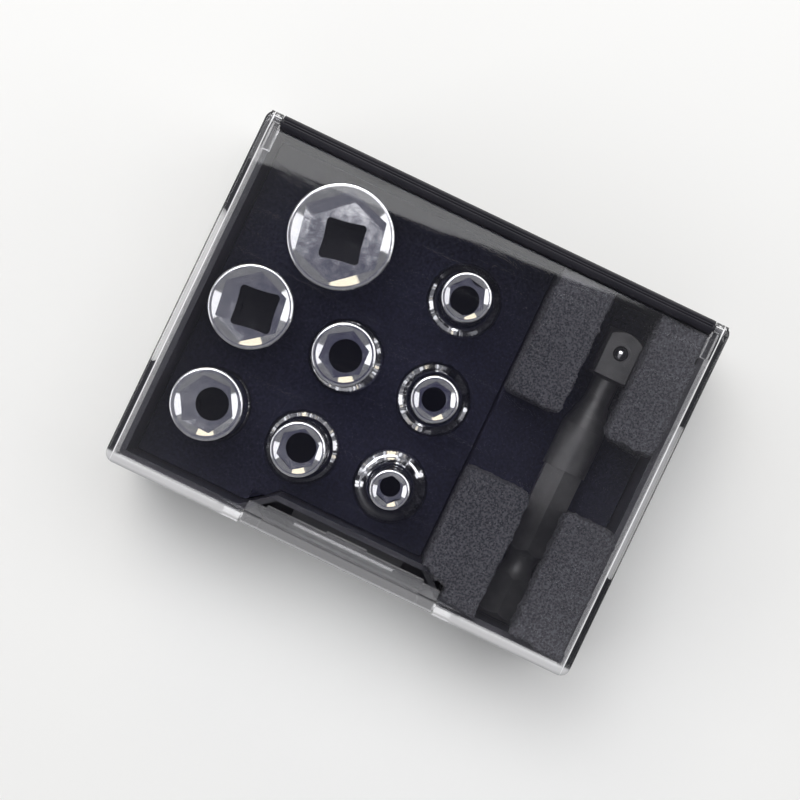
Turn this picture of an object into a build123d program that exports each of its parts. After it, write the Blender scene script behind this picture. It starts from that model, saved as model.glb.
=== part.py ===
"""Small hinged socket case: a black tray, a clear lid with a clear latch, a foam
insert, eight quarter-inch sockets and one bit adapter.

Frame: millimetres, +Z up, origin on the table under the middle of the case.
+X runs along the long side, the latch is at -Y and the hinge at +Y.
"""

from build123d import *
from math import cos, hypot, pi, radians, sin, tan
import os

# ---------------------------------------------------------------- driving sizes
CORNER_RADIUS = 1.6       # corners of the case, seen from above

# Clear lid
LID_WALL = 1.1
LID_TOP = 1.5
LID_GAP = 0.25            # lid wall to tray wall
LID_FOOT_GAP = 0.3        # foot of the lid wall to the tray's ledge
LID_EDGE_RADIUS = 0.5
LID_REAR_GAP = 0.3        # lid plate to hinge barrel

# Tray
FLOOR = 1.8
LEDGE_HEIGHT = 3.0
TRAY_WALL = 0.9
RIM_TO_EAR = 0.7          # rim of the tray to the lid's ears over it
FINGER_RECESS = 28.0
TRAY_CORNER_RADIUS = 0.8
FOOT_CHAMFER = 0.4

# Hinge: a barrel along the top of the tray's rear wall, with a stub pin at each end
BARREL_RADIUS = 1.15
BARREL_INSET = 0.05       # barrel, in from the back of the case
BARREL_GROOVE = 0.22
PIN_RADIUS = 0.55
PIN_LENGTH = 1.95
PIN_CLEARANCE = 0.06
EAR_WIDTH = 2.5
EAR_LENGTH = 6.0
EAR_DEPTH = 4.8
EAR_GAP = 0.25

# Latch flap and its bay
LATCH_WIDTH = 33.0
LATCH_BAR_WIDTH = 27.0
LATCH_GAP = 0.3
LATCH_INSET = 0.25        # outer face, behind the lid's front face
LATCH_PLATE = 1.8
LATCH_SLOT = 0.7
LATCH_SLOT_DEPTH = 1.6
LATCH_RIB = 1.5
LATCH_RIB_HEIGHT = 3.4
LATCH_CHEEK_DEPTH = 3.5
LATCH_FOOT = 4.2
LATCH_TOP_DROP = 0.2
TAB_WIDTH = 6.9
TAB_REACH = 0.35
LATCH_PIN_RADIUS = 0.5
LATCH_PIN_LENGTH = 3.1
LATCH_PIN_CLEARANCE = 0.06
LATCH_AXIS_DROP = 2.7     # axis below the top of the lid
LATCH_AXIS_INSET = 1.05   # axis behind the lid's front face
LATCH_SWEEP_ROOM = 0.3
BOSS_WIDTH = 3.9
BOSS_DEPTH = 2.1
BAY_DEPTH = 3.9
BAY_SLANT = 5.0
BAY_SIDE_ROOM = 1.2

# Snap catch of the latch: both faces lean along the lid's own path
CATCH_WIDTH = 20.0
CATCH_ABOVE_FOOT = 6.4    # foremost line of the catch above the latch's foot
CATCH_FACE = 2.2
CATCH_LEAN = 0.3          # sideways run of the snap faces for each unit of height
CATCH_BITE = 0.45
CATCH_GAP = 0.21
HOOK_WIDTH = 18.0

# Foam
SHOULDER_PROUD = 0.1      # drive ends above the lower foam
FOAM_GAP = 0.1
PAD_TOP_GAP = 0.3         # pads to the underside of the lid
PAD_INNER_Y = 6.55
PAD_CORNER_RADIUS = 1.2
REAR_CHANNEL_SIDES = (5.25, 2.7)    # adapter's axis to the pads left and right of it
FRONT_CHANNEL_SIDES = (3.55, 2.45)
PAD_OVERHANG = 0.6        # how far the front right pad lies over the tray's rim

# Layout of the sockets: columns from the left, rows from the front
COLUMN_PITCH = 16.25
COLUMNS = 3
COLUMN_LEFT_GAP = 2.25    # tray wall to the drive ends of the left column
COLUMN_RIGHT_GAP = 3.4    # drive ends of the right column to the seam in the foam
ROW_PITCH = 16.5
ROWS = 3
ROW_FRONT_GAP = 2.3       # latch bay's wall to the drive ends of the front row
ROW_REAR_GAP = 2.2        # widest socket to the spine
SOCKET_HEADROOM = 2.7     # sockets to the underside of the lid

# Sockets, quarter-inch square drive
SOCKET_LENGTH = 25.0
DRIVE_DIAMETER = 11.8
DRIVE_LENGTH = 12.3
DRIVE_SQUARE = 6.9
DRIVE_SQUARE_BOW = 0.25
DRIVE_SQUARE_CORNER = 0.7
DRIVE_SQUARE_DEPTH = 9.5
DETENT_DIMPLE_RADIUS = 0.9
DETENT_DIMPLE_DEPTH = 0.45
DETENT_DIMPLE_HEIGHT = 3.6
NECK_LENGTH = 2.2
NECK_BEND = 0.35          # where the neck's arc passes, as a share of its two runs
RIM_ROUND = 0.45
RIM_LAND = 0.15           # flat left between the rim's round and the coned mouth
MOUTH_CONE = 0.4          # cone beyond the hex corners
KNURL_TEETH = 64
KNURL_DEPTH = 0.28
KNURL_MARGIN = 0.06       # how far the grooves' outline runs outside the grip
KNURL_START = 2.4
SHOULDER_WIDTH = 0.75
CONE_SLOPE = 30           # degrees that the shoulder and the coned mouth fall
HOLE_CLEARANCE = 0.15
# hex size, diameter of the hex end, hex floor over the neck, bore behind it, column, row, turn
SOCKETS = {
    "socket_13mm": (13.0, 17.2, 0.5, 0.0, 0.495, 2.0, 11),
    "socket_10mm": (10.0, 13.7, 0.5, 0.0, 0.0, 1.024, 8),
    "socket_8mm": (8.0, 11.8, 0.0, 5.5, 0.018, 0.0, 30),
    "socket_7mm": (7.0, 10.4, 0.0, 5.5, 1.015, 0.994, 2),
    "socket_6mm": (6.0, 9.0, 0.0, 5.0, 1.009, -0.012, 6),
    "socket_5_5mm": (5.5, 8.2, 0.0, 4.8, 1.852, 1.994, 19),
    "socket_5mm": (5.0, 7.8, 0.0, 4.0, 2.0, 0.982, 21),
    "socket_4mm": (4.0, 6.6, -1.5, 3.4, 1.982, 0.018, 15),
}

# Adapter: quarter-inch square with a sprung ball, on a quarter-inch hex shank
HEX_SHANK = 6.35
SQUARE_END = 6.35
SQUARE_CORNER_SHARE = 0.92  # turned-down corners, as a share of the sharp ones
ADAPTER_LEFT_ROOM = 14.55 # seam in the foam to the adapter's axis
ADAPTER_RIGHT_ROOM = 11.0 # adapter's axis to the tray's right wall
ADAPTER_FRONT_GAP = 0.8   # shank to the tray's front wall
ADAPTER_REAR_GAP = 4.6    # square to the spine
SQUARE_LENGTH = 7.8
NECK_STRAIGHT = 4.4
NECK_DIAMETER = 4.4
CONE_LENGTH = 4.6
BODY_DIAMETER = 7.3
BODY_LENGTH = 6.6
SHANK_LENGTH = 27.1
GROOVE_DIAMETER = 4.9
GROOVE_WIDTH = 5.2
GROOVE_TO_TIP = 9.5
TIP_CHAMFER = 1.0
ADAPTER_FOAM_GAP = 0.3
ADAPTER_REST = 0.01       # lowest line of the adapter to the foam under it
BALL_RADIUS = 1.2
BALL_PROUD = 0.5
BALL_CLEARANCE = 0.05
BALL_FROM_TIP = 3.5
STAKE_RADIUS = 1.65
STAKE_DEPTH = 0.12
SPRING_RADIUS = 0.95
SPRING_WIRE = 0.22        # radius of the wire
SPRING_WIRE_SIDES = 8
SPRING_LENGTH = 3.3
SPRING_TURNS = 4
SPRING_END_GAP = 0.05

# ---------------------------------------------------------------- derived places
# the case is as wide, deep and high as what it holds asks for
DRIVE_RADIUS = DRIVE_DIAMETER / 2
WIDEST_RADIUS = max(DRIVE_DIAMETER, *(sizes[1] for sizes in SOCKETS.values())) / 2
SOCKET_BLOCK_WIDTH = (
    COLUMN_LEFT_GAP + DRIVE_DIAMETER + (COLUMNS - 1) * COLUMN_PITCH + COLUMN_RIGHT_GAP
)
CASE_WIDTH = (
    2 * (LID_WALL + LID_GAP + TRAY_WALL)
    + SOCKET_BLOCK_WIDTH
    + ADAPTER_LEFT_ROOM
    + ADAPTER_RIGHT_ROOM
)
FRONT_ROW_INSET = BAY_DEPTH + TRAY_WALL + ROW_FRONT_GAP + DRIVE_RADIUS
SOCKETS_DEPTH = FRONT_ROW_INSET + (ROWS - 1) * ROW_PITCH + WIDEST_RADIUS + ROW_REAR_GAP
ADAPTER_LENGTH = SHANK_LENGTH + BODY_LENGTH + CONE_LENGTH + NECK_STRAIGHT + SQUARE_LENGTH
ADAPTER_DEPTH = TRAY_WALL + ADAPTER_FRONT_GAP + ADAPTER_LENGTH + ADAPTER_REAR_GAP
SPINE_DEPTH = 2 * BARREL_RADIUS + BARREL_INSET
CASE_DEPTH = LID_WALL + LID_GAP + max(SOCKETS_DEPTH, ADAPTER_DEPTH) + SPINE_DEPTH
LID_UNDERSIDE = FLOOR + SOCKET_LENGTH + SOCKET_HEADROOM
CASE_HEIGHT = LID_UNDERSIDE + LID_TOP

HALF_W = CASE_WIDTH / 2
HALF_D = CASE_DEPTH / 2
TRAY_HALF_W = HALF_W - LID_WALL - LID_GAP
TRAY_FRONT = -HALF_D + LID_WALL + LID_GAP

HINGE_Y = HALF_D - BARREL_RADIUS - BARREL_INSET
HINGE_Z = CASE_HEIGHT - BARREL_RADIUS
BARREL_HALF = HALF_W - EAR_WIDTH - EAR_GAP
SPINE_FRONT = HINGE_Y - BARREL_RADIUS
LID_REAR = SPINE_FRONT - LID_REAR_GAP
EAR_FRONT = HINGE_Y + BARREL_RADIUS - EAR_LENGTH
EAR_FLOOR = CASE_HEIGHT - EAR_DEPTH
RIM_HEIGHT = EAR_FLOOR - RIM_TO_EAR
EAR_SWEEP = hypot(EAR_FRONT - HINGE_Y, EAR_FLOOR - HINGE_Z)

HEX_CORNER = HEX_SHANK / 2 / cos(radians(30))
SQUARE_CORNER_RADIUS = SQUARE_CORNER_SHARE * SQUARE_END / 2 / cos(radians(45))

LATCH_AXIS_Y = -HALF_D + LATCH_AXIS_INSET
LATCH_AXIS_Z = CASE_HEIGHT - LATCH_AXIS_DROP
LATCH_FRONT = -HALF_D + LATCH_INSET
LATCH_BACK = LATCH_FRONT + LATCH_PLATE
LATCH_TOP = CASE_HEIGHT - LATCH_TOP_DROP
CHEEK_TOP = LATCH_TOP - LATCH_TOP_DROP
CHEEK_BACK = LATCH_FRONT + LATCH_CHEEK_DEPTH
RIB_FRONT = LATCH_BACK + LATCH_SLOT
RIB_BACK = RIB_FRONT + LATCH_RIB
NOTCH_HALF = LATCH_WIDTH / 2 + LATCH_GAP
TAB_BACK = RIB_BACK + TAB_REACH
TAB_SWEEP = hypot(TAB_BACK - LATCH_AXIS_Y, LATCH_TOP - LATCH_AXIS_Z)
CHEEK_SWEEP = hypot(CHEEK_BACK - LATCH_AXIS_Y, CHEEK_TOP - LATCH_AXIS_Z)
NOTCH_BACK = LATCH_AXIS_Y + TAB_SWEEP + LATCH_SWEEP_ROOM
BAY_HALF_OUTER = LATCH_WIDTH / 2 + BAY_SIDE_ROOM
BAY_HALF_INNER = BAY_HALF_OUTER - BAY_SLANT
BAY_BACK = TRAY_FRONT + BAY_DEPTH

INNER_HALF_W = TRAY_HALF_W - TRAY_WALL
INNER_FRONT = TRAY_FRONT + TRAY_WALL
INNER_REAR = SPINE_FRONT
FOAM_HEIGHT = FLOOR + DRIVE_LENGTH - SHOULDER_PROUD
FOAM_SEAM = -INNER_HALF_W + SOCKET_BLOCK_WIDTH
PAD_TOP = LID_UNDERSIDE - PAD_TOP_GAP
FIRST_COLUMN_X = -INNER_HALF_W + COLUMN_LEFT_GAP + DRIVE_RADIUS
FIRST_ROW_Y = TRAY_FRONT + FRONT_ROW_INSET
CATCH_PEAK_HEIGHT = LATCH_FOOT + CATCH_ABOVE_FOOT

ADAPTER_Z = FOAM_HEIGHT + max(BODY_DIAMETER / 2, HEX_CORNER) + ADAPTER_REST
ADAPTER_X = FOAM_SEAM + ADAPTER_LEFT_ROOM
ADAPTER_TIP_Y = INNER_REAR - ADAPTER_REAR_GAP
SQUARE_START = ADAPTER_TIP_Y - SQUARE_LENGTH
CONE_START = SQUARE_START - NECK_STRAIGHT
BODY_START = CONE_START - CONE_LENGTH
SHANK_START = BODY_START - BODY_LENGTH
SHANK_TIP = SHANK_START - SHANK_LENGTH
GROOVE_Y = SHANK_TIP + GROOVE_TO_TIP
BALL_Y = ADAPTER_TIP_Y - BALL_FROM_TIP
BALL_Z = ADAPTER_Z + SQUARE_END / 2 - BALL_RADIUS + BALL_PROUD
BALL_BORE_RADIUS = BALL_RADIUS + BALL_CLEARANCE
SPRING_TOP = BALL_Z - BALL_RADIUS - SPRING_END_GAP
BORE_FLOOR = SPRING_TOP - SPRING_LENGTH - SPRING_END_GAP

os.makedirs("parts", exist_ok=True)


def save(part, name):
    """Label a finished piece and write it as its own file."""
    part.label = name
    export_step(part, f"parts/{name}.step")
    print(f"{name}: {part.volume:.1f} mm3")


def socket_place(column, row):
    """Middle of a socket, seen from above."""
    return FIRST_COLUMN_X + column * COLUMN_PITCH, FIRST_ROW_Y + row * ROW_PITCH


def bay_outline(growth=0.0):
    """Plan of the latch bay: a trapezoid that narrows towards the inside."""
    with BuildSketch() as outline:
        with BuildLine():
            Polyline(
                (-BAY_HALF_OUTER, -HALF_D),
                (BAY_HALF_OUTER, -HALF_D),
                (BAY_HALF_OUTER, TRAY_FRONT),
                (BAY_HALF_INNER, BAY_BACK),
                (-BAY_HALF_INNER, BAY_BACK),
                (-BAY_HALF_OUTER, TRAY_FRONT),
                close=True,
            )
        make_face()
        if growth:
            offset(amount=growth, kind=Kind.INTERSECTION)
    return outline.sketch


def rectangle_between(x0, x1, y0, y1):
    """Rectangle from its two corners, for use inside a sketch."""
    with Locations(((x0 + x1) / 2, (y0 + y1) / 2)):
        Rectangle(x1 - x0, y1 - y0)


# ---------------------------------------------------------------- tray
def make_tray():
    bay_cut = bay_outline()
    bay_wall = bay_outline(TRAY_WALL)
    spine_mid = (SPINE_FRONT + HALF_D) / 2
    with BuildPart() as tray:
        # foot plate with the ledge that the lid's walls stand over
        with BuildSketch():
            RectangleRounded(CASE_WIDTH, CASE_DEPTH, CORNER_RADIUS)
            with Locations((-HALF_W, 0), (HALF_W, 0)):
                SlotOverall(
                    FINGER_RECESS,
                    2 * (HALF_W - TRAY_HALF_W),
                    rotation=90,
                    mode=Mode.SUBTRACT,
                )
        extrude(amount=LEDGE_HEIGHT)
        chamfer(tray.faces().sort_by(Axis.Z)[0].outer_wire().edges(), FOOT_CHAMFER)
        # walls
        with BuildSketch(Plane.XY.offset(LEDGE_HEIGHT)):
            with Locations((0, (TRAY_FRONT + HALF_D) / 2)):
                RectangleRounded(2 * TRAY_HALF_W, HALF_D - TRAY_FRONT, TRAY_CORNER_RADIUS)
        extrude(amount=RIM_HEIGHT - LEDGE_HEIGHT)
        # inside, with the latch bay standing into it
        with BuildSketch(Plane.XY.offset(FLOOR)):
            rectangle_between(-INNER_HALF_W, INNER_HALF_W, INNER_FRONT, INNER_REAR)
            add(bay_wall, mode=Mode.SUBTRACT)
        extrude(amount=CASE_HEIGHT, mode=Mode.SUBTRACT)
        # bay, open to the front
        with BuildSketch(Plane.XY.offset(LEDGE_HEIGHT)):
            add(bay_cut)
        extrude(amount=CASE_HEIGHT, mode=Mode.SUBTRACT)
        # spine and hinge barrel along the back
        with BuildSketch(Plane.XY.offset(LEDGE_HEIGHT)):
            with Locations((0, spine_mid)):
                Rectangle(2 * BARREL_HALF, HALF_D - SPINE_FRONT)
        extrude(amount=HINGE_Z - LEDGE_HEIGHT)
        with BuildSketch(Plane.YZ.offset(-BARREL_HALF)):
            with Locations((HINGE_Y, HINGE_Z)):
                Circle(BARREL_RADIUS)
        extrude(amount=2 * BARREL_HALF)
        # two shallow grooves along the barrel's crown
        with BuildSketch(Plane.YZ.offset(-BARREL_HALF + EAR_GAP)):
            with Locations((HINGE_Y, HINGE_Z)):
                with PolarLocations(BARREL_RADIUS, 2, start_angle=70, angular_range=42):
                    Circle(BARREL_GROOVE)
        extrude(amount=2 * (BARREL_HALF - EAR_GAP), mode=Mode.SUBTRACT)
        # stub pins
        with BuildSketch(Plane.YZ.offset(-BARREL_HALF - PIN_LENGTH)):
            with Locations((HINGE_Y, HINGE_Z)):
                Circle(PIN_RADIUS)
        extrude(amount=2 * (BARREL_HALF + PIN_LENGTH))
        # snap catch in the bay
        peak_y = catch_peak_y()
        root_y = BAY_BACK + TRAY_WALL / 2
        with BuildSketch(Plane.YZ.offset(-CATCH_WIDTH / 2)):
            with BuildLine():
                Polyline(
                    (root_y, CATCH_PEAK_HEIGHT - CATCH_FACE),
                    (peak_y + CATCH_LEAN * CATCH_FACE, CATCH_PEAK_HEIGHT - CATCH_FACE),
                    (peak_y, CATCH_PEAK_HEIGHT),
                    (root_y, CATCH_PEAK_HEIGHT + root_y - peak_y),
                    close=True,
                )
            make_face()
        extrude(amount=CATCH_WIDTH)
    save(tray.part, "base_tray")


def catch_peak_y():
    """Foremost line of the catch, from the hook's place and the bite."""
    return hook_peak_y() - CATCH_BITE


def hook_peak_y():
    """Innermost line of the hook on the latch plate."""
    return LATCH_BACK + CATCH_BITE + CATCH_GAP + CATCH_LEAN


# ---------------------------------------------------------------- lid
def make_lid():
    foot = LEDGE_HEIGHT + LID_FOOT_GAP
    wall_height = CASE_HEIGHT - foot
    ear_rear = HINGE_Y + BARREL_RADIUS
    with BuildPart() as lid:
        with BuildSketch(Plane.XY.offset(foot)):
            RectangleRounded(CASE_WIDTH, CASE_DEPTH, CORNER_RADIUS)
        extrude(amount=wall_height)
        top_rim = lid.faces().sort_by(Axis.Z)[-1].outer_wire().edges()
        fillet(top_rim, LID_EDGE_RADIUS)
        # inside, open towards the hinge
        with BuildSketch(Plane.XY.offset(foot)):
            rectangle_between(
                -HALF_W + LID_WALL, HALF_W - LID_WALL, -HALF_D + LID_WALL, CASE_DEPTH
            )
        extrude(amount=LID_UNDERSIDE - foot, mode=Mode.SUBTRACT)
        # the plate stops short of the hinge barrel
        with BuildSketch(Plane.XY.offset(foot)):
            rectangle_between(-HALF_W + LID_WALL, HALF_W - LID_WALL, LID_REAR, CASE_DEPTH)
        extrude(amount=wall_height, mode=Mode.SUBTRACT)
        # thick ears at the rear ends of the side walls
        with BuildSketch(Plane.XY.offset(EAR_FLOOR)):
            for side in (-1, 1):
                x_in = side * (HALF_W - EAR_WIDTH)
                x_out = side * (HALF_W - LID_WALL / 2)
                rectangle_between(min(x_in, x_out), max(x_in, x_out), EAR_FRONT, ear_rear)
        extrude(amount=EAR_DEPTH - LID_EDGE_RADIUS / 2)
        # rear ends follow the hinge axis
        with BuildSketch(Plane.YZ.offset(-HALF_W)):
            rectangle_between(HINGE_Y, CASE_DEPTH, HINGE_Z, CASE_HEIGHT + LID_TOP)
            rectangle_between(ear_rear, CASE_DEPTH, foot, CASE_HEIGHT)
            with Locations((HINGE_Y, HINGE_Z)):
                Circle(BARREL_RADIUS, mode=Mode.SUBTRACT)
        extrude(amount=CASE_WIDTH, mode=Mode.SUBTRACT)
        # blind holes for the stub pins
        hole_reach = BARREL_HALF + PIN_LENGTH + PIN_CLEARANCE
        with BuildSketch(Plane.YZ.offset(-hole_reach)):
            with Locations((HINGE_Y, HINGE_Z)):
                Circle(PIN_RADIUS + PIN_CLEARANCE)
        extrude(amount=2 * hole_reach, mode=Mode.SUBTRACT)
        # bosses beside the latch
        with BuildSketch(Plane.XY.offset(LATCH_AXIS_Z - BOSS_DEPTH)):
            for side in (-1, 1):
                x_near = side * NOTCH_HALF
                x_far = side * (NOTCH_HALF + BOSS_WIDTH)
                rectangle_between(
                    min(x_near, x_far),
                    max(x_near, x_far),
                    -HALF_D + LID_WALL / 2,
                    -HALF_D + BOSS_DEPTH,
                )
        extrude(amount=LID_UNDERSIDE - LATCH_AXIS_Z + BOSS_DEPTH)
        # notch for the latch
        with BuildSketch(Plane.XY.offset(foot)):
            rectangle_between(-NOTCH_HALF, NOTCH_HALF, -CASE_DEPTH, NOTCH_BACK)
        extrude(amount=wall_height, mode=Mode.SUBTRACT)
        # blind holes for the latch pins
        latch_reach = LATCH_WIDTH / 2 + LATCH_PIN_LENGTH + LATCH_PIN_CLEARANCE
        with BuildSketch(Plane.YZ.offset(-latch_reach)):
            with Locations((LATCH_AXIS_Y, LATCH_AXIS_Z)):
                Circle(LATCH_PIN_RADIUS + LATCH_PIN_CLEARANCE)
        extrude(amount=2 * latch_reach, mode=Mode.SUBTRACT)
    save(lid.part, "clear_lid")


# ---------------------------------------------------------------- latch
def make_latch():
    rib_floor = LATCH_TOP - LATCH_RIB_HEIGHT
    slot_floor = LATCH_TOP - LATCH_SLOT_DEPTH
    hook_y = hook_peak_y()
    hook_peak_z = CATCH_PEAK_HEIGHT - CATCH_FACE
    face_rise = (hook_y - LATCH_BACK) / CATCH_LEAN
    ramp_drop = hook_y - LATCH_BACK
    with BuildPart() as latch:
        # cross-section of the bar: plate, slot, rib
        with BuildSketch(Plane.YZ.offset(-LATCH_BAR_WIDTH / 2)):
            with BuildLine():
                Polyline(
                    (LATCH_FRONT, LATCH_FOOT),
                    (LATCH_BACK, LATCH_FOOT),
                    (LATCH_BACK, rib_floor),
                    (RIB_BACK, rib_floor),
                    (RIB_BACK, LATCH_TOP),
                    (RIB_FRONT, LATCH_TOP),
                    (RIB_FRONT, slot_floor),
                    (LATCH_BACK, slot_floor),
                    (LATCH_BACK, LATCH_TOP),
                    (LATCH_FRONT, LATCH_TOP),
                    close=True,
                )
            make_face()
        extrude(amount=LATCH_BAR_WIDTH)
        # plate runs on to the full width
        with BuildSketch(Plane.YZ.offset(-LATCH_WIDTH / 2)):
            rectangle_between(LATCH_FRONT, LATCH_BACK, LATCH_FOOT, CHEEK_TOP)
        extrude(amount=LATCH_WIDTH)
        # cheeks that carry the pins
        with BuildSketch(Plane.XY.offset(rib_floor)):
            for side in (-1, 1):
                x_near = side * LATCH_BAR_WIDTH / 2
                x_far = side * LATCH_WIDTH / 2
                rectangle_between(min(x_near, x_far), max(x_near, x_far), LATCH_FRONT, CHEEK_BACK)
        extrude(amount=CHEEK_TOP - rib_floor)
        # thumb tab in the middle of the rib
        with BuildSketch(Plane.XY.offset(rib_floor)):
            rectangle_between(-TAB_WIDTH / 2, TAB_WIDTH / 2, RIB_FRONT, TAB_BACK)
        extrude(amount=LATCH_RIB_HEIGHT)
        # pins
        with BuildSketch(Plane.YZ.offset(-LATCH_WIDTH / 2 - LATCH_PIN_LENGTH)):
            with Locations((LATCH_AXIS_Y, LATCH_AXIS_Z)):
                Circle(LATCH_PIN_RADIUS)
        extrude(amount=LATCH_WIDTH + 2 * LATCH_PIN_LENGTH)
        # hook
        with BuildSketch(Plane.YZ.offset(-HOOK_WIDTH / 2)):
            with BuildLine():
                Polyline(
                    (LATCH_BACK, hook_peak_z - ramp_drop),
                    (hook_y, hook_peak_z),
                    (LATCH_BACK, hook_peak_z + face_rise),
                    (LATCH_BACK - LATCH_PLATE / 2, hook_peak_z),
                    close=True,
                )
            make_face()
        extrude(amount=HOOK_WIDTH)
        # pull edge: the foot of the plate is bevelled inside for a fingernail
        foot_edge = latch.edges().filter_by(Axis.X).group_by(Axis.Z)[0].sort_by(Axis.Y)[-1]
        chamfer(foot_edge, LATCH_PLATE / 3)
    save(latch.part, "latch_flap")


# ---------------------------------------------------------------- foam
def make_socket_foam():
    bay = bay_outline(TRAY_WALL + FOAM_GAP)
    with BuildPart() as foam:
        with BuildSketch(Plane.XY.offset(FLOOR)):
            rectangle_between(
                -INNER_HALF_W + FOAM_GAP,
                FOAM_SEAM - FOAM_GAP,
                INNER_FRONT + FOAM_GAP,
                INNER_REAR - FOAM_GAP,
            )
            add(bay, mode=Mode.SUBTRACT)
            for sizes in SOCKETS.values():
                with Locations(socket_place(*sizes[4:6])):
                    Circle(DRIVE_RADIUS + HOLE_CLEARANCE, mode=Mode.SUBTRACT)
        extrude(amount=FOAM_HEIGHT - FLOOR)
    save(foam.part, "socket_foam")


def make_adapter_foam():
    bay = bay_outline(TRAY_WALL + FOAM_GAP)
    with BuildPart() as foam:
        with BuildSketch(Plane.XY.offset(FLOOR)):
            rectangle_between(
                FOAM_SEAM + FOAM_GAP,
                INNER_HALF_W - FOAM_GAP,
                INNER_FRONT + FOAM_GAP,
                INNER_REAR - FOAM_GAP,
            )
            add(bay, mode=Mode.SUBTRACT)
        extrude(amount=FOAM_HEIGHT - FLOOR)
    save(foam.part, "adapter_foam")


def make_pad(name, x0, x1, y0, y1, overhang=0.0):
    """One upper foam pad; it clears the adapter and may lie over the tray's rim."""
    rim_top = RIM_HEIGHT + FOAM_GAP
    ear_inner = HALF_W - EAR_WIDTH - PAD_TOP_GAP
    with BuildPart() as pad:
        with BuildSketch(Plane.XY.offset(FOAM_HEIGHT)) as plan:
            rectangle_between(x0, x1, y0, y1)
            inner_y = max if y0 < 0 else min
            inner = inner_y(y0, y1)
            corners = plan.vertices().filter_by(lambda v: abs(v.Y - inner) < FOAM_GAP)
            fillet(corners, PAD_CORNER_RADIUS)
            add(bay_outline(TRAY_WALL + FOAM_GAP), mode=Mode.SUBTRACT)
        extrude(amount=PAD_TOP - FOAM_HEIGHT)
        if overhang:
            with BuildSketch(Plane.XY.offset(rim_top)):
                rectangle_between(
                    (x0 + x1) / 2, x1 + overhang, y0 - overhang, y1 - PAD_CORNER_RADIUS
                )
            extrude(amount=PAD_TOP - rim_top)
        # room for the adapter, which the foam grips from both sides
        with BuildSketch(Plane.XZ.offset(-HALF_D)):
            with Locations((ADAPTER_X, ADAPTER_Z)):
                Circle(SQUARE_CORNER_RADIUS + ADAPTER_FOAM_GAP)
        extrude(amount=CASE_DEPTH, mode=Mode.SUBTRACT)
        # room for the latch's end, which swings down and back as its foot is pulled out
        with BuildSketch(Plane.XY.offset(LATCH_AXIS_Z - CHEEK_SWEEP - LATCH_SWEEP_ROOM)):
            rectangle_between(
                -NOTCH_HALF, NOTCH_HALF, -HALF_D, LATCH_AXIS_Y + CHEEK_SWEEP + LATCH_SWEEP_ROOM
            )
        extrude(amount=CASE_HEIGHT, mode=Mode.SUBTRACT)
        # room for the lid's thick ear and for its swing as the lid opens
        with BuildSketch(Plane.XY.offset(EAR_FLOOR - PAD_TOP_GAP)):
            rectangle_between(ear_inner, HALF_W, HINGE_Y - EAR_SWEEP - PAD_TOP_GAP, HALF_D)
        extrude(amount=EAR_DEPTH, mode=Mode.SUBTRACT)
    save(pad.part, name)


def make_pads():
    left = FOAM_SEAM + FOAM_GAP
    right = INNER_HALF_W - FOAM_GAP
    rear = INNER_REAR - FOAM_GAP
    front = INNER_FRONT + FOAM_GAP
    rear_left = ADAPTER_X - REAR_CHANNEL_SIDES[0]
    rear_right = ADAPTER_X + REAR_CHANNEL_SIDES[1]
    front_left = ADAPTER_X - FRONT_CHANNEL_SIDES[0]
    front_right = ADAPTER_X + FRONT_CHANNEL_SIDES[1]
    make_pad("foam_pad_rear_left", left, rear_left, PAD_INNER_Y, rear)
    make_pad("foam_pad_rear_right", rear_right, right, PAD_INNER_Y, rear)
    make_pad("foam_pad_front_left", left, front_left, front, -PAD_INNER_Y)
    make_pad("foam_pad_front_right", front_right, right, front, -PAD_INNER_Y, PAD_OVERHANG)


# ---------------------------------------------------------------- sockets
def socket_profile(nose_radius):
    """Half section of a socket from its drive end at zero to its hex mouth."""
    shoulder = DRIVE_LENGTH - SHOULDER_WIDTH * tan(radians(CONE_SLOPE))
    neck_top = DRIVE_LENGTH + NECK_LENGTH
    neck_radius = DRIVE_RADIUS - SHOULDER_WIDTH
    neck_step = neck_radius - nose_radius
    with BuildSketch(Plane.XZ) as section:
        with BuildLine():
            Polyline(
                (0, 0),
                (DRIVE_RADIUS - RIM_ROUND, 0),
                (DRIVE_RADIUS, RIM_ROUND),
                (DRIVE_RADIUS, shoulder),
                (neck_radius, DRIVE_LENGTH),
            )
            ThreePointArc(
                (neck_radius, DRIVE_LENGTH),
                (nose_radius + NECK_BEND * neck_step, DRIVE_LENGTH + NECK_BEND * NECK_LENGTH),
                (nose_radius, neck_top),
            )
            Line((nose_radius, neck_top), (nose_radius, SOCKET_LENGTH - RIM_ROUND))
            RadiusArc(
                (nose_radius, SOCKET_LENGTH - RIM_ROUND),
                (nose_radius - RIM_ROUND, SOCKET_LENGTH),
                -RIM_ROUND,
            )
            Polyline((nose_radius - RIM_ROUND, SOCKET_LENGTH), (0, SOCKET_LENGTH), (0, 0))
        make_face()
    return section.sketch


def drive_square():
    """Female square whose sides bow in a little between relieved corners."""
    half = DRIVE_SQUARE / 2
    with BuildSketch() as square:
        with BuildLine():
            for quarter in range(4):
                turn = Rotation(0, 0, 90 * quarter)
                start = (turn * Location((half, -half, 0))).position
                end = (turn * Location((half, half, 0))).position
                SagittaArc(start, end, DRIVE_SQUARE_BOW)
        make_face()
        fillet(square.vertices(), DRIVE_SQUARE_CORNER)
    return square.sketch


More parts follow.
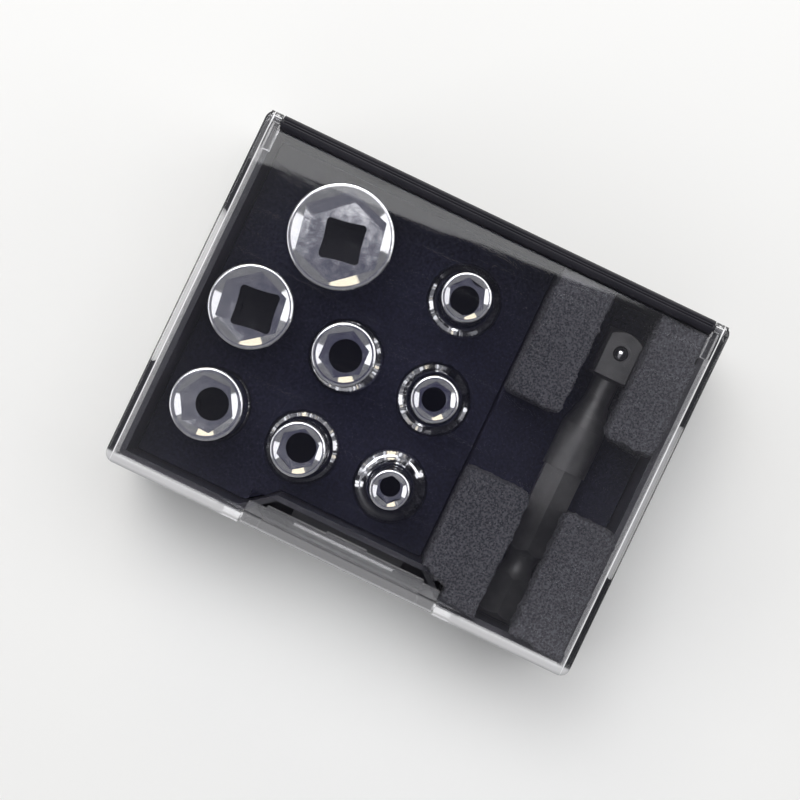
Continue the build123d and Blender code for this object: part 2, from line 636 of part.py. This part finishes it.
def knurl_ring():
    """Ring of V grooves round the drive end, as one toothed outline."""
    points = []
    for step in range(2 * KNURL_TEETH):
        angle = pi * step / KNURL_TEETH
        radius = DRIVE_RADIUS + KNURL_MARGIN if step % 2 else DRIVE_RADIUS - KNURL_DEPTH
        points.append((radius * cos(angle), radius * sin(angle)))
    with BuildSketch() as ring:
        Circle(DRIVE_RADIUS + SHOULDER_WIDTH)
        with BuildLine(mode=Mode.PRIVATE) as teeth:
            Polyline(*points, close=True)
        add(make_face(teeth.edges(), mode=Mode.PRIVATE), mode=Mode.SUBTRACT)
    return ring.sketch


def make_socket(name, hex_size, nose, floor_rise, bore, column, row, turn):
    """A socket on its drive end; a flat of the hex faces along the square's side."""
    hex_corner = hex_size / 2 / cos(radians(30))
    hex_floor = DRIVE_LENGTH + NECK_LENGTH + floor_rise
    mouth = min(hex_corner + MOUTH_CONE, nose / 2 - RIM_ROUND - RIM_LAND)
    mouth_depth = (mouth - hex_size / 2) * tan(radians(CONE_SLOPE))
    dimple_span = DRIVE_SQUARE + 2 * (DETENT_DIMPLE_DEPTH - DRIVE_SQUARE_BOW)
    with BuildPart() as socket:
        add(socket_profile(nose / 2))
        revolve(axis=Axis.Z)
        # hex with a coned mouth
        with BuildSketch(Plane.XY.offset(hex_floor)):
            RegularPolygon(hex_size / 2, 6, major_radius=False, rotation=30)
        extrude(amount=SOCKET_LENGTH - hex_floor, mode=Mode.SUBTRACT)
        with BuildSketch(Plane.XY.offset(SOCKET_LENGTH)):
            Circle(mouth)
        extrude(amount=-mouth_depth, taper=90 - CONE_SLOPE, mode=Mode.SUBTRACT)
        # square drive, and the bore or opening behind the hex
        with BuildSketch():
            add(drive_square())
        extrude(amount=DRIVE_SQUARE_DEPTH if bore else hex_floor, mode=Mode.SUBTRACT)
        if bore:
            with BuildSketch():
                Circle(bore / 2)
            extrude(amount=SOCKET_LENGTH, mode=Mode.SUBTRACT)
        # dimples that the drive's ball snaps into
        for across in (Plane.XZ, Plane.YZ):
            with BuildSketch(across.offset(-dimple_span / 2)):
                with Locations((0, DETENT_DIMPLE_HEIGHT)):
                    Circle(DETENT_DIMPLE_RADIUS)
            extrude(amount=dimple_span, mode=Mode.SUBTRACT)
        # knurled grip
        with BuildSketch(Plane.XY.offset(KNURL_START)):
            add(knurl_ring())
        extrude(amount=DRIVE_LENGTH - KNURL_START, mode=Mode.SUBTRACT)
    x, y = socket_place(column, row)
    save(Pos(x, y, FLOOR) * Rot(0, 0, turn) * socket.part, name)


# ---------------------------------------------------------------- adapter
def make_adapter():
    body_radius = BODY_DIAMETER / 2
    along = Plane(origin=(ADAPTER_X, 0, ADAPTER_Z), x_dir=(1, 0, 0), z_dir=(0, 1, 0))
    side_view = Plane(origin=(ADAPTER_X, 0, ADAPTER_Z), x_dir=(1, 0, 0), z_dir=(0, 0, 1))
    axis = Axis((ADAPTER_X, 0, ADAPTER_Z), (0, 1, 0))
    with BuildPart() as adapter:
        # square end, its corners turned down and its tip chamfered
        with BuildSketch(along.offset(SQUARE_START)):
            Rectangle(SQUARE_END, SQUARE_END)
        extrude(amount=SQUARE_LENGTH)
        with BuildSketch(side_view):
            with BuildLine():
                Polyline(
                    (0, SQUARE_START - NECK_STRAIGHT),
                    (SQUARE_CORNER_RADIUS, SQUARE_START - NECK_STRAIGHT),
                    (SQUARE_CORNER_RADIUS, ADAPTER_TIP_Y - TIP_CHAMFER),
                    (SQUARE_CORNER_RADIUS - TIP_CHAMFER, ADAPTER_TIP_Y),
                    (0, ADAPTER_TIP_Y),
                    close=True,
                )
            make_face()
        revolve(axis=axis, mode=Mode.INTERSECT)
        # neck, cone and round body
        with BuildSketch(side_view):
            with BuildLine():
                Polyline(
                    (0, SHANK_START - TIP_CHAMFER),
                    (body_radius, SHANK_START - TIP_CHAMFER),
                    (body_radius, BODY_START),
                    (NECK_DIAMETER / 2, CONE_START),
                    (NECK_DIAMETER / 2, SQUARE_START - TIP_CHAMFER / 2),
                    (NECK_DIAMETER / 2 + TIP_CHAMFER / 2, SQUARE_START),
                    (0, SQUARE_START),
                    close=True,
                )
            make_face()
        revolve(axis=axis)
        # hex shank
        with BuildSketch(along.offset(SHANK_TIP)):
            RegularPolygon(HEX_SHANK / 2, 6, major_radius=False, rotation=30)
        extrude(amount=SHANK_LENGTH - TIP_CHAMFER)
        # power groove
        with BuildSketch(side_view):
            with BuildLine():
                reach = body_radius + TIP_CHAMFER
                Line((reach, GROOVE_Y - GROOVE_WIDTH / 2), (reach, GROOVE_Y + GROOVE_WIDTH / 2))
                Line(
                    (reach, GROOVE_Y + GROOVE_WIDTH / 2),
                    (body_radius, GROOVE_Y + GROOVE_WIDTH / 2),
                )
                ThreePointArc(
                    (body_radius, GROOVE_Y + GROOVE_WIDTH / 2),
                    (GROOVE_DIAMETER / 2, GROOVE_Y),
                    (body_radius, GROOVE_Y - GROOVE_WIDTH / 2),
                )
                Line(
                    (body_radius, GROOVE_Y - GROOVE_WIDTH / 2),
                    (reach, GROOVE_Y - GROOVE_WIDTH / 2),
                )
            make_face()
        revolve(axis=axis, mode=Mode.SUBTRACT)
        # chamfered tip
        with BuildSketch(side_view):
            with BuildLine():
                Polyline(
                    (body_radius - TIP_CHAMFER, SHANK_TIP),
                    (body_radius + TIP_CHAMFER, SHANK_TIP),
                    (body_radius + TIP_CHAMFER, SHANK_TIP + 2 * TIP_CHAMFER),
                    close=True,
                )
            make_face()
        revolve(axis=axis, mode=Mode.SUBTRACT)
        # bore for ball and spring, with a staked ring at its mouth
        with BuildSketch(Plane.XY.offset(BORE_FLOOR)):
            with Locations((ADAPTER_X, BALL_Y)):
                Circle(BALL_BORE_RADIUS)
        extrude(amount=SQUARE_END, mode=Mode.SUBTRACT)
        with BuildSketch(Plane.XY.offset(ADAPTER_Z + SQUARE_END / 2 - STAKE_DEPTH)):
            with Locations((ADAPTER_X, BALL_Y)):
                Circle(STAKE_RADIUS)
        extrude(amount=SQUARE_END, mode=Mode.SUBTRACT)
    save(adapter.part, "adapter_body")


def make_detent():
    with BuildPart() as ball:
        with Locations((ADAPTER_X, BALL_Y, BALL_Z)):
            Sphere(BALL_RADIUS)
    save(ball.part, "detent_ball")

    coil_radius = SPRING_RADIUS - SPRING_WIRE
    coil_floor = SPRING_TOP - SPRING_LENGTH + SPRING_WIRE
    coil_height = SPRING_LENGTH - 2 * SPRING_WIRE
    with BuildPart() as spring:
        with BuildLine(Plane.XY.offset(coil_floor)) as coil:
            Helix(coil_height / SPRING_TURNS, coil_height, coil_radius)
        with BuildSketch(Plane(coil.line @ 0, z_dir=coil.line % 0)):
            RegularPolygon(SPRING_WIRE, SPRING_WIRE_SIDES)
        sweep(path=coil.line)
    save(Pos(ADAPTER_X, BALL_Y, 0) * spring.part, "detent_spring")


make_tray()
make_lid()
make_latch()
make_socket_foam()
make_adapter_foam()
make_pads()
for socket_name, sizes in SOCKETS.items():
    make_socket(socket_name, *sizes)
make_adapter()
make_detent()
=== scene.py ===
"""Looks of the small socket case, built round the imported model.

Metres, +Z up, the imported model's frame: +X along the long side, the latch at -Y, the hinge at +Y.
"""

import math

import bmesh
import bpy
from mathutils import Matrix, Vector, noise


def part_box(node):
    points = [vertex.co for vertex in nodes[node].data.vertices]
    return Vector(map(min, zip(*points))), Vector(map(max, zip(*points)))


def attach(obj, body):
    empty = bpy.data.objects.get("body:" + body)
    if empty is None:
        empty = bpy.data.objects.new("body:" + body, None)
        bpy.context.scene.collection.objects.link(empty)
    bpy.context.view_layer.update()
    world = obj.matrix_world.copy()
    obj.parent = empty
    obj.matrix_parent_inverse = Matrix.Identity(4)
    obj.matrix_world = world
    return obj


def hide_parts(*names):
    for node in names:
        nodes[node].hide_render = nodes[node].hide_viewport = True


MM = 0.001

# The photograph: its camera, straight above the case and turned against it.
CAMERA_TURN = math.radians(25.55)
CAMERA_PLACE = (-2.02 * MM, -2.15 * MM, 345 * MM)
FOCAL_PX = 2017.5
PHOTO_PX = 800
SENSOR_MM = 36.0

# Foam: the remesh size, the relief of the top and how deep the cut sides are torn.
PAD_VOXEL = 0.22 * MM
PAD_GRAIN = 0.06 * MM
PAD_TEAR = 0.45 * MM
BLOCK_VOXEL = 0.35 * MM
BLOCK_GRAIN = 0.03 * MM
BLOCK_TEAR = 0.03 * MM
WAVE_SCALE = 450.0  # of the torn sides' slow wave, per metre
TEETH_SCALE = 1500.0  # of their teeth and of the top's grain, per metre
TEETH_SHIFT = Vector((7.0, 3.0, 1.0))  # keeps the teeth's noise off the wave's

# The painted highlights in the clear pieces: milky white marks that stand in for the bright strips
# refraction makes at their edges. Pairs are where a mark begins and where it is full.
FRONT_EDGE = (-28.4 * MM, -28.9 * MM)  # Y
FRONT_HIGHLIGHT = 0.52
BESIDE_LATCH = (16.3 * MM, 16.6 * MM)  # X, on both sides
SIDE_LINE = 38.85 * MM  # X of the line over each side wall
SIDE_LINE_HALF = (0.14 * MM, 0.03 * MM)
SIDE_HIGHLIGHT = 0.75
LID_TOP = (29.3 * MM, 29.9 * MM)  # Z
LATCH_PLATE = (-28.2 * MM, -28.5 * MM)  # Y
LATCH_BAR = (22 * MM, 27 * MM)  # Z
LATCH_HIGHLIGHT = (0.04, 0.20)

NOISE_LOW, NOISE_HIGH = 0.3, 0.7  # where most values of a noise texture lie
MIX_A, MIX_B, MIX_RESULT = 6, 7, 2  # the colour sockets of a mix node

FLOOR_HALF = 3.0
CASE_MIDDLE = (0, 0, 0.03)

SOCKETS = (
    "socket_13mm",
    "socket_10mm",
    "socket_8mm",
    "socket_7mm",
    "socket_6mm",
    "socket_5_5mm",
    "socket_5mm",
    "socket_4mm",
)

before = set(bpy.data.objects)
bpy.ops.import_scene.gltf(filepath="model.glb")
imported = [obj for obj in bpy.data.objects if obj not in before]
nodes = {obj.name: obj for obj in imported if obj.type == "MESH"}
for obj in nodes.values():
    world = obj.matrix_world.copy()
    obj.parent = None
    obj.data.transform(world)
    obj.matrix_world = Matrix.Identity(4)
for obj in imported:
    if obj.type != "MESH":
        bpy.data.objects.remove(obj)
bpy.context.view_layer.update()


# ------------------------------------------------------------------ shader helpers
def fill_ramp(node, stops):
    """Sets a colour ramp's stops; each is a place and a grey or a colour."""
    elements = node.color_ramp.elements
    while len(elements) < len(stops):
        elements.new(0.5)
    for element, (place, colour) in zip(elements, stops):
        if isinstance(colour, (int, float)):
            colour = (colour, colour, colour)
        element.position = place
        element.color = (*colour, 1.0)


class Tree:
    """A material's node tree, with short calls for the nodes that it uses."""

    def __init__(self, name):
        self.mat = bpy.data.materials.new(name)
        self.mat.use_nodes = True
        self.nodes = self.mat.node_tree.nodes
        self.links = self.mat.node_tree.links
        self.bsdf = next(n for n in self.nodes if n.type == "BSDF_PRINCIPLED")
        self.out = next(n for n in self.nodes if n.type == "OUTPUT_MATERIAL")
        self.coords = self.nodes.new("ShaderNodeTexCoord").outputs["Object"]

    def link(self, source, target):
        self.links.new(source, target)

    def put(self, value, socket):
        """A number, colour or other node's output into a socket."""
        if isinstance(value, bpy.types.NodeSocket):
            self.link(value, socket)
        else:
            socket.default_value = value

    def set(self, **values):
        """Puts values into the shader's sockets of those names."""
        for name, value in values.items():
            self.put(value, self.bsdf.inputs[name.replace("_", " ")])

    def mapping(self, scale, rotation=(0, 0, 0)):
        node = self.nodes.new("ShaderNodeMapping")
        node.inputs["Scale"].default_value = scale
        node.inputs["Rotation"].default_value = rotation
        self.link(self.coords, node.inputs["Vector"])
        return node.outputs["Vector"]

    def axes(self):
        """X, Y and Z in the case's frame at rest, whatever the pose."""
        node = self.nodes.new("ShaderNodeSeparateXYZ")
        self.link(self.coords, node.inputs["Vector"])
        return node.outputs["X"], node.outputs["Y"], node.outputs["Z"]

    def noise(self, scale, detail=3.0, rough=0.5, vector=None):
        node = self.nodes.new("ShaderNodeTexNoise")
        node.inputs["Scale"].default_value = scale
        node.inputs["Detail"].default_value = detail
        node.inputs["Roughness"].default_value = rough
        self.link(vector or self.coords, node.inputs["Vector"])
        return node.outputs["Fac"]

    def cells(self, scale, feature="F1"):
        node = self.nodes.new("ShaderNodeTexVoronoi")
        node.feature = feature
        node.inputs["Scale"].default_value = scale
        self.link(self.coords, node.inputs["Vector"])
        return node.outputs["Distance"]

    def ramp(self, value, *stops):
        node = self.nodes.new("ShaderNodeValToRGB")
        fill_ramp(node, stops)
        self.put(value, node.inputs["Fac"])
        return node.outputs["Color"]

    def span(self, value, low, high, to_low, to_high):
        """Maps low to high onto to_low to to_high, and holds the ends."""
        node = self.nodes.new("ShaderNodeMapRange")
        names = ("Value", "From Min", "From Max", "To Min", "To Max")
        for name, number in zip(names, (value, low, high, to_low, to_high)):
            self.put(number, node.inputs[name])
        return node.outputs["Result"]

    def tint(self, value, dark, light):
        """A colour that follows a noise from dark to light."""
        return self.ramp(value, (NOISE_LOW, dark), (NOISE_HIGH, light))

    def spread(self, value, low, high):
        """A number that follows a noise from low to high."""
        return self.span(value, NOISE_LOW, NOISE_HIGH, low, high)

    def multiply(self, a, b):
        """One colour times another."""
        node = self.nodes.new("ShaderNodeMix")
        node.data_type = "RGBA"
        node.blend_type = "MULTIPLY"
        node.inputs["Factor"].default_value = 1.0
        self.link(a, node.inputs[MIX_A])
        self.link(b, node.inputs[MIX_B])
        return node.outputs[MIX_RESULT]

    def math(self, operation, a, b=0.0):
        node = self.nodes.new("ShaderNodeMath")
        node.operation = operation
        self.put(a, node.inputs[0])
        self.put(b, node.inputs[1])
        return node.outputs["Value"]

    def bump(self, height, distance, strength=1.0):
        node = self.nodes.new("ShaderNodeBump")
        node.inputs["Strength"].default_value = strength
        node.inputs["Distance"].default_value = distance
        self.link(height, node.inputs["Height"])
        return node.outputs["Normal"]


def wear(obj, material):
    """Gives a piece one material."""
    obj.data.materials.clear()
    obj.data.materials.append(material)


# ------------------------------------------------------------------ materials
def tray_material():
    t = Tree("tray_black_plastic")
    grain = t.noise(9000, 2.0)
    cloud = t.noise(180)
    t.set(
        Base_Color=t.tint(cloud, (0.009, 0.009, 0.014), (0.016, 0.015, 0.021)),
        Roughness=t.spread(grain, 0.38, 0.52),
        Normal=t.bump(grain, 0.01 * MM, 0.5),
        Specular_IOR_Level=0.35,
    )
    return t.mat


def clear_material(name, clearness):
    """Clear moulded plastic with scuffs and dust, that lets lamps through.

    clearness makes the nodes that say how clear each place is; where it makes a place less clear,
    the milky white is a painted highlight.
    """
    t = Tree(name)
    streaks = t.noise(70, 4.0, vector=t.mapping((1, 9, 1), (0, 0, 0.5)))
    scuffs = t.span(streaks, 0.55, 0.8, 0.0, 0.10)
    specks = t.span(t.cells(1000), 0.03, 0.07, 0.22, 0.0)
    waves = t.noise(60, 1.0)
    t.set(
        Base_Color=(0.975, 0.975, 0.99, 1),
        Roughness=t.math("MAXIMUM", t.math("ADD", scuffs, 0.015), specks),
        IOR=1.5,
        Normal=t.bump(waves, 0.1 * MM, 0.12),
        Transmission_Weight=clearness(t),
    )
    path = t.nodes.new("ShaderNodeLightPath")
    see_through = t.nodes.new("ShaderNodeBsdfTransparent")
    see_through.inputs["Color"].default_value = (0.93, 0.935, 0.935, 1)
    either = t.nodes.new("ShaderNodeMixShader")
    t.link(path.outputs["Is Shadow Ray"], either.inputs[0])
    t.link(t.bsdf.outputs["BSDF"], either.inputs[1])
    t.link(see_through.outputs["BSDF"], either.inputs[2])
    t.link(either.outputs["Shader"], t.out.inputs["Surface"])
    return t.mat


def painted_edge_highlights(t):
    """Clear but for the lid's top: milky white along its front edge and over its side walls, a
    painted highlight for the bright strips that refraction makes there.
    """
    x, y, z = t.axes()
    x = t.math("ABSOLUTE", x)
    front = t.span(y, FRONT_EDGE[1], FRONT_EDGE[0], FRONT_HIGHLIGHT, 0.0)
    front = t.math("MULTIPLY", front, t.span(x, *BESIDE_LATCH, 0.0, 1.0))
    line = t.math("ABSOLUTE", t.math("SUBTRACT", x, SIDE_LINE))
    line = t.span(line, SIDE_LINE_HALF[1], SIDE_LINE_HALF[0], SIDE_HIGHLIGHT, 0.0)
    high = t.span(z, *LID_TOP, 0.0, 1.0)
    # painted highlight: how milky white each place is
    painted_highlight = t.math("MULTIPLY", t.math("MAXIMUM", front, line), high)
    return t.math("SUBTRACT", 1.0, painted_highlight)


def painted_latch_highlight(t):
    """Clear but for the upper part of the latch: milky white there, most of all in its front plate,
    a painted highlight.
    """
    _, y, z = t.axes()
    bar = t.span(y, *LATCH_PLATE, *LATCH_HIGHLIGHT)
    high = t.span(z, *LATCH_BAR, 0.0, 1.0)
    return t.math("SUBTRACT", 1.0, t.math("MULTIPLY", bar, high))


def foam_material(name, dark, light, cell_scale, depth):
    """Open foam: pits of cell_scale per metre and of the given depth, with painted shade that
    darkens the colour from light to dark into each pit.
    """
    t = Tree(name)
    warp = t.noise(cell_scale * 0.8, 4.0, 0.6)
    pits = t.math("MULTIPLY", t.cells(cell_scale, "SMOOTH_F1"), warp)
    # painted shade: dark at the bottom of each pit, light between them
    body = t.ramp(pits, (0.1, dark), (0.32, light))
    tone = t.tint(t.noise(90), 0.85, 1.1)
    t.set(
        Base_Color=t.multiply(body, tone),
        Roughness=0.95,
        Specular_IOR_Level=0.25,
        Normal=t.bump(pits, depth),
    )
    return t.mat


def chrome_material():
    t = Tree("socket_chrome")
    smudge = t.noise(700, 4.0, 0.6)
    scratch = t.noise(1500, 2.0, vector=t.mapping((1, 1, 0.05)))
    t.set(
        Base_Color=t.tint(smudge, (0.76, 0.765, 0.78), (0.83, 0.83, 0.84)),
        Metallic=1.0,
        Roughness=t.spread(smudge, 0.05, 0.12),
        Normal=t.bump(scratch, 0.004 * MM, 0.4),
    )
    return t.mat


def adapter_material():
    t = Tree("adapter_steel")
    grain = t.noise(5000)
    cloud = t.noise(300)
    t.set(
        Base_Color=t.tint(cloud, (0.050, 0.049, 0.050), (0.080, 0.078, 0.079)),
        Metallic=0.7,
        Roughness=t.spread(grain, 0.36, 0.52),
        Normal=t.bump(grain, 0.01 * MM, 0.4),
    )
    return t.mat


def ball_material():
    t = Tree("ball_steel")
    smudge = t.noise(2500)
    t.set(
        Base_Color=t.tint(smudge, (0.72, 0.72, 0.73), (0.85, 0.85, 0.86)),
        Metallic=1.0,
        Roughness=t.spread(smudge, 0.08, 0.2),
    )
    return t.mat


tray_black = tray_material()
# the lid: clear plastic with painted highlights, milky white along its front edge and over its side
# walls
lid_clear = clear_material("lid_clear_plastic", painted_edge_highlights)
# the latch: clear plastic with a painted highlight, milky white in its upper bar
latch_clear = clear_material("latch_clear_plastic", painted_latch_highlight)
# dark is the painted shade in the foam's pits, light the foam's colour between them
foam_lower = foam_material(
    "foam_lower",
    dark=(0.004, 0.004, 0.010),
    light=(0.012, 0.012, 0.026),
    cell_scale=2600,
    depth=0.04 * MM,
)
foam_upper = foam_material(
    "foam_upper",
    dark=(0.012, 0.012, 0.015),
    light=(0.055, 0.054, 0.062),
    cell_scale=3600,
    depth=0.12 * MM,
)
socket_chrome = chrome_material()
adapter_steel = adapter_material()
ball_steel = ball_material()

wear(nodes["base_tray"], tray_black)
wear(nodes["clear_lid"], lid_clear)
wear(nodes["latch_flap"], latch_clear)
for name in SOCKETS:
    wear(nodes[name], socket_chrome)
wear(nodes["adapter_body"], adapter_steel)
wear(nodes["detent_ball"], ball_steel)
wear(nodes["detent_spring"], ball_steel)


# ------------------------------------------------------------------ foam
def foam_piece(node, name, material, voxel, grain, tear):
    """A foam block in place of its CAD solid: a grainy top, and sides torn into teeth."""
    piece = bpy.data.objects.new(name, nodes[node].data.copy())
    bpy.context.scene.collection.objects.link(piece)
    remesh = piece.modifiers.new("remesh", "REMESH")
    remesh.mode = "VOXEL"
    remesh.voxel_size = voxel
    mesh = bpy.data.meshes.new_from_object(
        piece.evaluated_get(bpy.context.evaluated_depsgraph_get())
    )
    piece.modifiers.clear()
    piece.data = mesh
    mesh.name = name
    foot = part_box(node)[0].z + 2 * voxel  # the underside stays flat
    places = [vertex.co.copy() for vertex in mesh.vertices]
    normals = [vertex.normal.copy() for vertex in mesh.vertices]
    for index, (co, normal) in enumerate(zip(places, normals)):
        if co.z < foot:
            continue
        sideways = min(1.0, 1.6 * math.hypot(normal.x, normal.y))
        wave = noise.noise(co * WAVE_SCALE)
        teeth = noise.noise(co * TEETH_SCALE + TEETH_SHIFT)
        torn = tear * sideways * (0.9 * wave + 0.8 * teeth - 0.4)
        places[index] = co + normal * (torn + grain * (1.0 - sideways) * (teeth - 0.4))
    mesh.vertices.foreach_set("co", [number for co in places for number in co])
    mesh.shade_smooth()
    mesh.update()
    wear(piece, material)
    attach(piece, "case")
    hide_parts(node)


for side in ("rear_left", "rear_right", "front_left", "front_right"):
    foam_piece(
        "foam_pad_" + side,
        "pad_" + side,
        foam_upper,
        PAD_VOXEL,
        PAD_GRAIN,
        PAD_TEAR,
    )
for node, name in (("socket_foam", "foam_block_sockets"), ("adapter_foam", "foam_block_adapter")):
    foam_piece(node, name, foam_lower, BLOCK_VOXEL, BLOCK_GRAIN, BLOCK_TEAR)


# ------------------------------------------------------------------ stage
def stage_floor():
    bm = bmesh.new()
    bmesh.ops.create_grid(bm, x_segments=1, y_segments=1, size=FLOOR_HALF)
    mesh = bpy.data.meshes.new("floor")
    bm.to_mesh(mesh)
    bm.free()
    floor = bpy.data.objects.new("floor", mesh)
    bpy.context.scene.collection.objects.link(floor)
    t = Tree("floor_pale")
    t.set(Base_Color=(0.86, 0.86, 0.85, 1), Roughness=0.9, Specular_IOR_Level=0.1)
    wear(floor, t.mat)


def panel(name, place, aim, turn, size, radiance, colour=(1, 1, 1)):
    """A soft box: a rectangle of even brightness at place, facing aim, all turned about Z."""
    data = bpy.data.lights.new(name, "AREA")
    data.shape = "RECTANGLE"
    data.size, data.size_y = size
    data.energy = radiance * math.pi * size[0] * size[1]
    data.color = colour
    obj = bpy.data.objects.new(name, data)
    facing = (Vector(aim) - Vector(place)).to_track_quat("-Z", "Y").to_matrix().to_4x4()
    obj.matrix_world = Matrix.Rotation(turn, 4, "Z") @ Matrix.Translation(place) @ facing
    bpy.context.scene.collection.objects.link(obj)


def world_light():
    """A dim dome, a little paler near the zenith and dark in it, where the camera is."""
    world = bpy.data.worlds.new("studio")
    world.use_nodes = True
    tree = world.node_tree
    background = tree.nodes["Background"]
    background.inputs["Strength"].default_value = 1.0
    coords = tree.nodes.new("ShaderNodeTexCoord")
    parts = tree.nodes.new("ShaderNodeSeparateXYZ")
    ramp = tree.nodes.new("ShaderNodeValToRGB")
    stops = (
        (0.3, (0.24, 0.24, 0.25)),
        (0.9, (0.26, 0.26, 0.27)),
        (0.988, (0.34, 0.34, 0.36)),
        (0.9985, (0.05, 0.05, 0.09)),
    )
    fill_ramp(ramp, stops)
    tree.links.new(coords.outputs["Generated"], parts.inputs["Vector"])
    tree.links.new(parts.outputs["Z"], ramp.inputs["Fac"])
    tree.links.new(ramp.outputs["Color"], background.inputs["Color"])
    bpy.context.scene.world = world


def photo_camera():
    """Straight down from 345 mm above the table, turned against the case."""
    data = bpy.data.cameras.new("camera")
    data.sensor_width = SENSOR_MM
    data.lens = SENSOR_MM * FOCAL_PX / PHOTO_PX
    data.clip_start = 0.01
    camera = bpy.data.objects.new("camera", data)
    camera.location = CAMERA_PLACE
    camera.rotation_euler = (0, 0, CAMERA_TURN)
    bpy.context.scene.collection.objects.link(camera)
    bpy.context.scene.camera = camera


stage_floor()
world_light()
panel(
    "ceiling_panel",
    place=(-0.15, 0.47, 0.9),
    aim=(-0.15, 0.47, 0),
    turn=math.radians(5),
    size=(1.8, 0.74),
    radiance=1.9,
)
panel(
    "key_panel",
    place=(-0.1, 0.46, 0.85),
    aim=(-0.05, 0.1, 0),
    turn=CAMERA_TURN,
    size=(0.45, 0.4),
    radiance=4.3,
)
for name, across, radiance in (("left_panel", (-0.9, 0.05), 1.6), ("right_panel", (0.9, 0.0), 1.3)):
    panel(
        name,
        place=(*across, 0.45),
        aim=CASE_MIDDLE,
        turn=CAMERA_TURN,
        size=(0.7, 0.6),
        radiance=radiance,
    )
panel(
    "warm_panel",
    place=(-0.1, 0.9, 0.5),
    aim=CASE_MIDDLE,
    turn=CAMERA_TURN,
    size=(0.5, 0.3),
    radiance=1.6,
    colour=(1, 0.88, 0.62),
)
photo_camera()
bpy.context.scene.view_settings.view_transform = "Standard"
